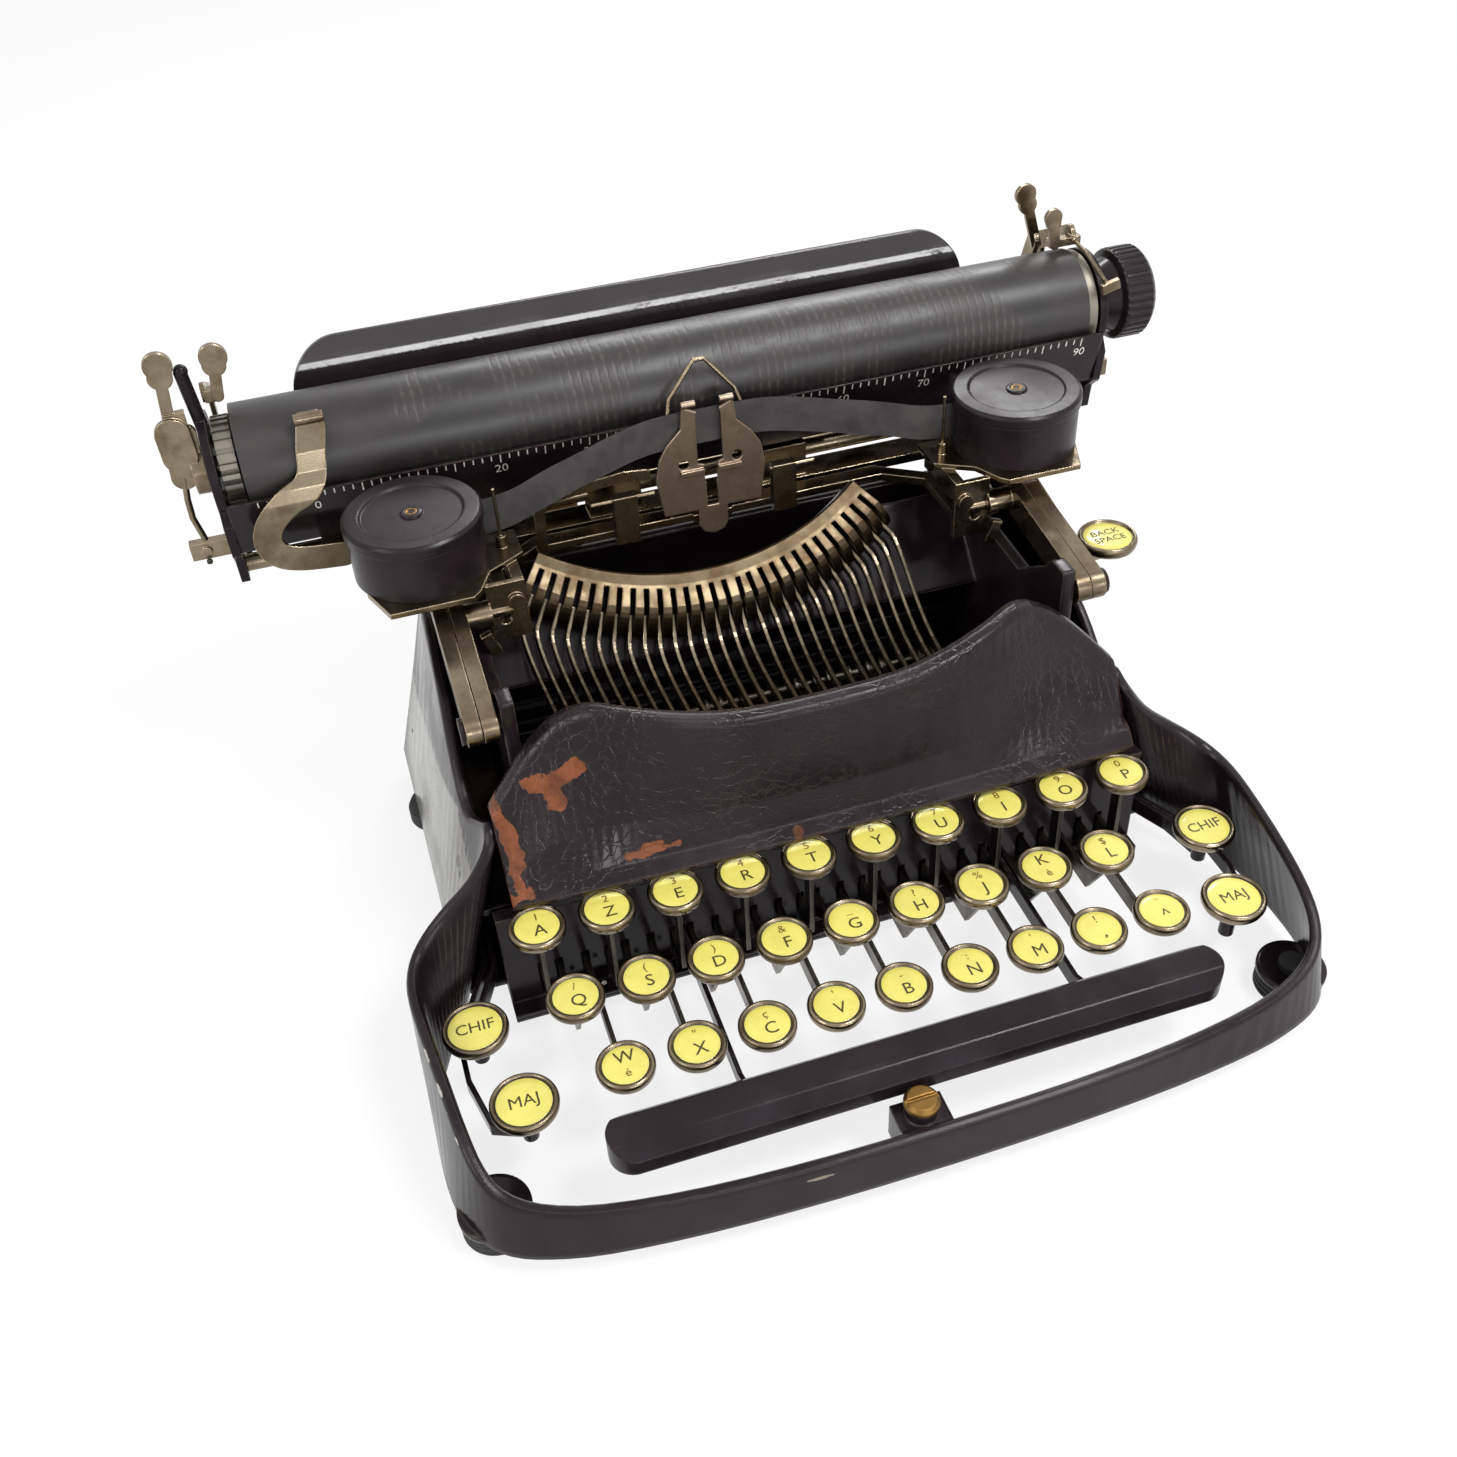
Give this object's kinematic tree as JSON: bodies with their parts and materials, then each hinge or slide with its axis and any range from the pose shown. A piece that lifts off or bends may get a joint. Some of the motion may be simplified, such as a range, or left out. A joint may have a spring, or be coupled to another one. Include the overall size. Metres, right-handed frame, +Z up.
{
  "type": "folding portable typewriter",
  "caption": "Folding portable typewriter: low black casting, three rows of round keys, curved shield, type basket, hinged carriage with rubber roller, ribbon cans and spoon levers.",
  "frame": {"origin": "bottom centre of the bounding box, on the table", "axes": "+X to the typist's right, +Y to the rear, +Z up"},
  "size_m": [0.2936, 0.2326, 0.1502],
  "materials": {
    "enamel": "glossy black stoved enamel, chipped on the edges",
    "crackled_enamel": "black enamel with fine cracks and bare brown patches",
    "rubber": "plain black rubber",
    "platen_rubber": "dull dark grey rubber with wear marks",
    "steel": "dull oiled steel",
    "nickel": "warm worn nickel plating",
    "bronze": "tarnished bronze",
    "ribbon_cloth": "inked cloth tape",
    "key_faces": "pale yellow face under a clear cover in a nickel ring"
  },
  "bodies": {
    "base": {"base_frame": "enamel", "front_shield": "crackled_enamel", "rubber_feet": "rubber", "lever_comb": "enamel", "lever_shaft": "steel", "type_segment": "bronze", "type_bars": "nickel", "front_screw": "bronze"},
    "key_a_body": {"key_a": "key_faces"},
    "key_z_body": {"key_z": "key_faces"},
    "key_e_body": {"key_e": "key_faces"},
    "key_r_body": {"key_r": "key_faces"},
    "key_t_body": {"key_t": "key_faces"},
    "key_y_body": {"key_y": "key_faces"},
    "key_u_body": {"key_u": "key_faces"},
    "key_i_body": {"key_i": "key_faces"},
    "key_o_body": {"key_o": "key_faces"},
    "key_p_body": {"key_p": "key_faces"},
    "key_q_body": {"key_q": "key_faces"},
    "key_s_body": {"key_s": "key_faces"},
    "key_d_body": {"key_d": "key_faces"},
    "key_f_body": {"key_f": "key_faces"},
    "key_g_body": {"key_g": "key_faces"},
    "key_h_body": {"key_h": "key_faces"},
    "key_j_body": {"key_j": "key_faces"},
    "key_k_body": {"key_k": "key_faces"},
    "key_l_body": {"key_l": "key_faces"},
    "key_w_body": {"key_w": "key_faces"},
    "key_x_body": {"key_x": "key_faces"},
    "key_c_body": {"key_c": "key_faces"},
    "key_v_body": {"key_v": "key_faces"},
    "key_b_body": {"key_b": "key_faces"},
    "key_n_body": {"key_n": "key_faces"},
    "key_m_body": {"key_m": "key_faces"},
    "key_comma_body": {"key_comma": "key_faces"},
    "key_accent_body": {"key_accent": "key_faces"},
    "middle_bar": {"middle_type_bar": "steel"},
    "space": {"space_bar": "enamel"},
    "figures": {"figures_shift": "enamel"},
    "capitals": {"capitals_shift": "enamel"},
    "fold": {"fold_frame": "nickel", "ribbon_cans": "enamel", "ribbon": "ribbon_cloth"},
    "lift": {"lift_frame": "nickel"},
    "carriage": {"carriage_frame": "nickel", "paper_table": "enamel", "paper_scale": "enamel"},
    "drum": {"spring_drum": "bronze"},
    "platen_roll": {"platen": "platen_rubber", "platen_knob": "enamel"},
    "line_space": {"line_space_lever": "nickel"},
    "release": {"carriage_release": "nickel"},
    "paper_lever": {"paper_release": "nickel"},
    "rolls": {"feed_rollers": "platen_rubber"},
    "finger": {"paper_finger": "nickel"},
    "stops": {"margin_stops": "nickel"},
    "left_reel": {"left_spool": "steel"},
    "right_reel": {"right_spool": "steel"},
    "vibrator": {"ribbon_vibrator": "nickel"},
    "back_space": {"backspace_key": "nickel"}
  },
  "joints": [
    {"name": "key_a_press", "type": "hinge", "parent": "base", "child": "key_a_body", "pos_m": [-0.0815, 0.0533, 0.018], "axis": [1, 0, 0], "range_deg": [0, 3.6], "stiffness_Nm_per_rad": 0.5, "springref_deg": -5.73},
    {"name": "key_z_press", "type": "hinge", "parent": "base", "child": "key_z_body", "pos_m": [-0.06354, 0.0533, 0.018], "axis": [1, 0, 0], "range_deg": [0, 3.6], "stiffness_Nm_per_rad": 0.5, "springref_deg": -5.73},
    {"name": "key_e_press", "type": "hinge", "parent": "base", "child": "key_e_body", "pos_m": [-0.04558, 0.0533, 0.018], "axis": [1, 0, 0], "range_deg": [0, 3.6], "stiffness_Nm_per_rad": 0.5, "springref_deg": -5.73},
    {"name": "key_r_press", "type": "hinge", "parent": "base", "child": "key_r_body", "pos_m": [-0.02762, 0.0533, 0.018], "axis": [1, 0, 0], "range_deg": [0, 3.6], "stiffness_Nm_per_rad": 0.5, "springref_deg": -5.73},
    {"name": "key_t_press", "type": "hinge", "parent": "base", "child": "key_t_body", "pos_m": [-0.00966, 0.0533, 0.018], "axis": [1, 0, 0], "range_deg": [0, 3.6], "stiffness_Nm_per_rad": 0.5, "springref_deg": -5.73},
    {"name": "key_y_press", "type": "hinge", "parent": "base", "child": "key_y_body", "pos_m": [0.0083, 0.0533, 0.018], "axis": [1, 0, 0], "range_deg": [0, 3.6], "stiffness_Nm_per_rad": 0.5, "springref_deg": -5.73},
    {"name": "key_u_press", "type": "hinge", "parent": "base", "child": "key_u_body", "pos_m": [0.02626, 0.0533, 0.018], "axis": [1, 0, 0], "range_deg": [0, 3.6], "stiffness_Nm_per_rad": 0.5, "springref_deg": -5.73},
    {"name": "key_i_press", "type": "hinge", "parent": "base", "child": "key_i_body", "pos_m": [0.04422, 0.0533, 0.018], "axis": [1, 0, 0], "range_deg": [0, 3.6], "stiffness_Nm_per_rad": 0.5, "springref_deg": -5.73},
    {"name": "key_o_press", "type": "hinge", "parent": "base", "child": "key_o_body", "pos_m": [0.06218, 0.0533, 0.018], "axis": [1, 0, 0], "range_deg": [0, 3.6], "stiffness_Nm_per_rad": 0.5, "springref_deg": -5.73},
    {"name": "key_p_press", "type": "hinge", "parent": "base", "child": "key_p_body", "pos_m": [0.08014, 0.0533, 0.018], "axis": [1, 0, 0], "range_deg": [0, 3.6], "stiffness_Nm_per_rad": 0.5, "springref_deg": -5.73},
    {"name": "key_q_press", "type": "hinge", "parent": "base", "child": "key_q_body", "pos_m": [-0.0769, 0.0533, 0.018], "axis": [1, 0, 0], "range_deg": [0, 3.6], "stiffness_Nm_per_rad": 0.5, "springref_deg": -5.73},
    {"name": "key_s_press", "type": "hinge", "parent": "base", "child": "key_s_body", "pos_m": [-0.05894, 0.0533, 0.018], "axis": [1, 0, 0], "range_deg": [0, 3.6], "stiffness_Nm_per_rad": 0.5, "springref_deg": -5.73},
    {"name": "key_d_press", "type": "hinge", "parent": "base", "child": "key_d_body", "pos_m": [-0.04098, 0.0533, 0.018], "axis": [1, 0, 0], "range_deg": [0, 3.6], "stiffness_Nm_per_rad": 0.5, "springref_deg": -5.73},
    {"name": "key_f_press", "type": "hinge", "parent": "base", "child": "key_f_body", "pos_m": [-0.02302, 0.0533, 0.018], "axis": [1, 0, 0], "range_deg": [0, 3.6], "stiffness_Nm_per_rad": 0.5, "springref_deg": -5.73},
    {"name": "key_g_press", "type": "hinge", "parent": "base", "child": "key_g_body", "pos_m": [-0.00506, 0.0533, 0.018], "axis": [1, 0, 0], "range_deg": [0, 3.6], "stiffness_Nm_per_rad": 0.5, "springref_deg": -5.73},
    {"name": "key_h_press", "type": "hinge", "parent": "base", "child": "key_h_body", "pos_m": [0.0129, 0.0533, 0.018], "axis": [1, 0, 0], "range_deg": [0, 3.6], "stiffness_Nm_per_rad": 0.5, "springref_deg": -5.73},
    {"name": "key_j_press", "type": "hinge", "parent": "base", "child": "key_j_body", "pos_m": [0.03086, 0.0533, 0.018], "axis": [1, 0, 0], "range_deg": [0, 3.6], "stiffness_Nm_per_rad": 0.5, "springref_deg": -5.73},
    {"name": "key_k_press", "type": "hinge", "parent": "base", "child": "key_k_body", "pos_m": [0.04882, 0.0533, 0.018], "axis": [1, 0, 0], "range_deg": [0, 3.6], "stiffness_Nm_per_rad": 0.5, "springref_deg": -5.73},
    {"name": "key_l_press", "type": "hinge", "parent": "base", "child": "key_l_body", "pos_m": [0.06678, 0.0533, 0.018], "axis": [1, 0, 0], "range_deg": [0, 3.6], "stiffness_Nm_per_rad": 0.5, "springref_deg": -5.73},
    {"name": "key_w_press", "type": "hinge", "parent": "base", "child": "key_w_body", "pos_m": [-0.0698, 0.0533, 0.018], "axis": [1, 0, 0], "range_deg": [0, 3.6], "stiffness_Nm_per_rad": 0.5, "springref_deg": -5.73},
    {"name": "key_x_press", "type": "hinge", "parent": "base", "child": "key_x_body", "pos_m": [-0.05184, 0.0533, 0.018], "axis": [1, 0, 0], "range_deg": [0, 3.6], "stiffness_Nm_per_rad": 0.5, "springref_deg": -5.73},
    {"name": "key_c_press", "type": "hinge", "parent": "base", "child": "key_c_body", "pos_m": [-0.03388, 0.0533, 0.018], "axis": [1, 0, 0], "range_deg": [0, 3.6], "stiffness_Nm_per_rad": 0.5, "springref_deg": -5.73},
    {"name": "key_v_press", "type": "hinge", "parent": "base", "child": "key_v_body", "pos_m": [-0.01592, 0.0533, 0.018], "axis": [1, 0, 0], "range_deg": [0, 3.6], "stiffness_Nm_per_rad": 0.5, "springref_deg": -5.73},
    {"name": "key_b_press", "type": "hinge", "parent": "base", "child": "key_b_body", "pos_m": [0.00204, 0.0533, 0.018], "axis": [1, 0, 0], "range_deg": [0, 3.6], "stiffness_Nm_per_rad": 0.5, "springref_deg": -5.73},
    {"name": "key_n_press", "type": "hinge", "parent": "base", "child": "key_n_body", "pos_m": [0.02, 0.0533, 0.018], "axis": [1, 0, 0], "range_deg": [0, 3.6], "stiffness_Nm_per_rad": 0.5, "springref_deg": -5.73},
    {"name": "key_m_press", "type": "hinge", "parent": "base", "child": "key_m_body", "pos_m": [0.03796, 0.0533, 0.018], "axis": [1, 0, 0], "range_deg": [0, 3.6], "stiffness_Nm_per_rad": 0.5, "springref_deg": -5.73},
    {"name": "key_comma_press", "type": "hinge", "parent": "base", "child": "key_comma_body", "pos_m": [0.05592, 0.0533, 0.018], "axis": [1, 0, 0], "range_deg": [0, 3.6], "stiffness_Nm_per_rad": 0.5, "springref_deg": -5.73},
    {"name": "key_accent_press", "type": "hinge", "parent": "base", "child": "key_accent_body", "pos_m": [0.07388, 0.0533, 0.018], "axis": [1, 0, 0], "range_deg": [0, 3.6], "stiffness_Nm_per_rad": 0.5, "springref_deg": -5.73},
    {"name": "type_bar_swing", "type": "hinge", "parent": "base", "child": "middle_bar", "pos_m": [0, 0.0427, 0.06387], "axis": [-1, 0, 0], "range_deg": [0, 118.8]},
    {"name": "space_bar_press", "type": "hinge", "parent": "base", "child": "space", "pos_m": [0, 0.0133, 0.024], "axis": [1, 0, 0], "range_deg": [0, 3.2], "stiffness_Nm_per_rad": 0.5, "springref_deg": -5.73},
    {"name": "figures_shift_press", "type": "hinge", "parent": "base", "child": "figures", "pos_m": [0, 0.0693, 0.0225], "axis": [1, 0, 0], "range_deg": [0, 2.4], "stiffness_Nm_per_rad": 3, "springref_deg": -5.73},
    {"name": "capitals_shift_press", "type": "hinge", "parent": "base", "child": "capitals", "pos_m": [0, 0.0693, 0.0115], "axis": [1, 0, 0], "range_deg": [0, 2.6], "stiffness_Nm_per_rad": 3, "springref_deg": -5.73},
    {"name": "fold", "type": "hinge", "parent": "base", "child": "fold", "pos_m": [0, -0.0067, 0.081], "axis": [-1, 0, 0], "range_deg": [-165, 0]},
    {"name": "lift", "type": "hinge", "parent": "fold", "child": "lift", "pos_m": [0, -0.0067, 0.081], "axis": [1, 0, 0], "range_deg": [0, 2.6]},
    {"name": "carriage_travel", "type": "slide", "parent": "lift", "child": "carriage", "axis": [1, 0, 0], "range_m": [-0.075, 0.075]},
    {"name": "drum_turn", "type": "hinge", "parent": "lift", "child": "drum", "pos_m": [-0.05, 0.1003, 0.0685], "axis": [0, 0, 1], "range_deg": [-255, 255]},
    {"name": "platen_turn", "type": "hinge", "parent": "carriage", "child": "platen_roll", "pos_m": [0, 0.0883, 0.114], "axis": [1, 0, 0], "continuous": true},
    {"name": "line_space_pull", "type": "hinge", "parent": "carriage", "child": "line_space", "pos_m": [-0.138, 0.0883, 0.114], "axis": [1, 0, 0], "range_deg": [0, 30], "stiffness_Nm_per_rad": 0.02, "springref_deg": -28.65},
    {"name": "carriage_release_press", "type": "hinge", "parent": "carriage", "child": "release", "pos_m": [0, 0.1117, 0.11], "axis": [-1, 0, 0], "range_deg": [0, 6], "stiffness_Nm_per_rad": 0.1, "springref_deg": -17.19},
    {"name": "paper_release_turn", "type": "hinge", "parent": "carriage", "child": "paper_lever", "pos_m": [0.1178, 0.1079, 0.117], "axis": [-1, 0, 0], "range_deg": [0, 12]},
    {"name": "feed_roller_drop", "type": "hinge", "parent": "carriage", "child": "rolls", "pos_m": [0, 0.1033, 0.097], "axis": [1, 0, 0], "range_deg": [0, 2.4]},
    {"name": "paper_finger_slide", "type": "slide", "parent": "carriage", "child": "finger", "axis": [1, 0, 0], "range_m": [-0.006, 0.003]},
    {"name": "margin_stops_slide", "type": "slide", "parent": "carriage", "child": "stops", "axis": [1, 0, 0], "range_m": [-0.03, 0.03]},
    {"name": "left_spool_turn", "type": "hinge", "parent": "fold", "child": "left_reel", "pos_m": [-0.0865, 0.0475, 0.103], "axis": [0, 0, 1], "continuous": true},
    {"name": "right_spool_turn", "type": "hinge", "parent": "fold", "child": "right_reel", "pos_m": [0.0865, 0.0475, 0.103], "axis": [0, 0, 1], "continuous": true},
    {"name": "ribbon_vibrator_lift", "type": "slide", "parent": "fold", "child": "vibrator", "axis": [0, 0, 1], "range_m": [0, 0.008]},
    {"name": "backspace_press", "type": "hinge", "parent": "fold", "child": "back_space", "pos_m": [0.0918, 0.0533, 0.085], "axis": [1, 0, 0], "range_deg": [0, 5], "stiffness_Nm_per_rad": 0.3, "springref_deg": -17.19}
  ],
  "couplings": [
    {"joint": "type_bar_swing", "follows": "key_g_press", "ratio": 33},
    {"joint": "lift", "follows": "capitals_shift_press", "ratio": 1},
    {"joint": "drum_turn", "follows": "carriage_travel", "rad_per_m": 58.8},
    {"joint": "feed_roller_drop", "follows": "paper_release_turn", "ratio": 0.2}
  ]
}
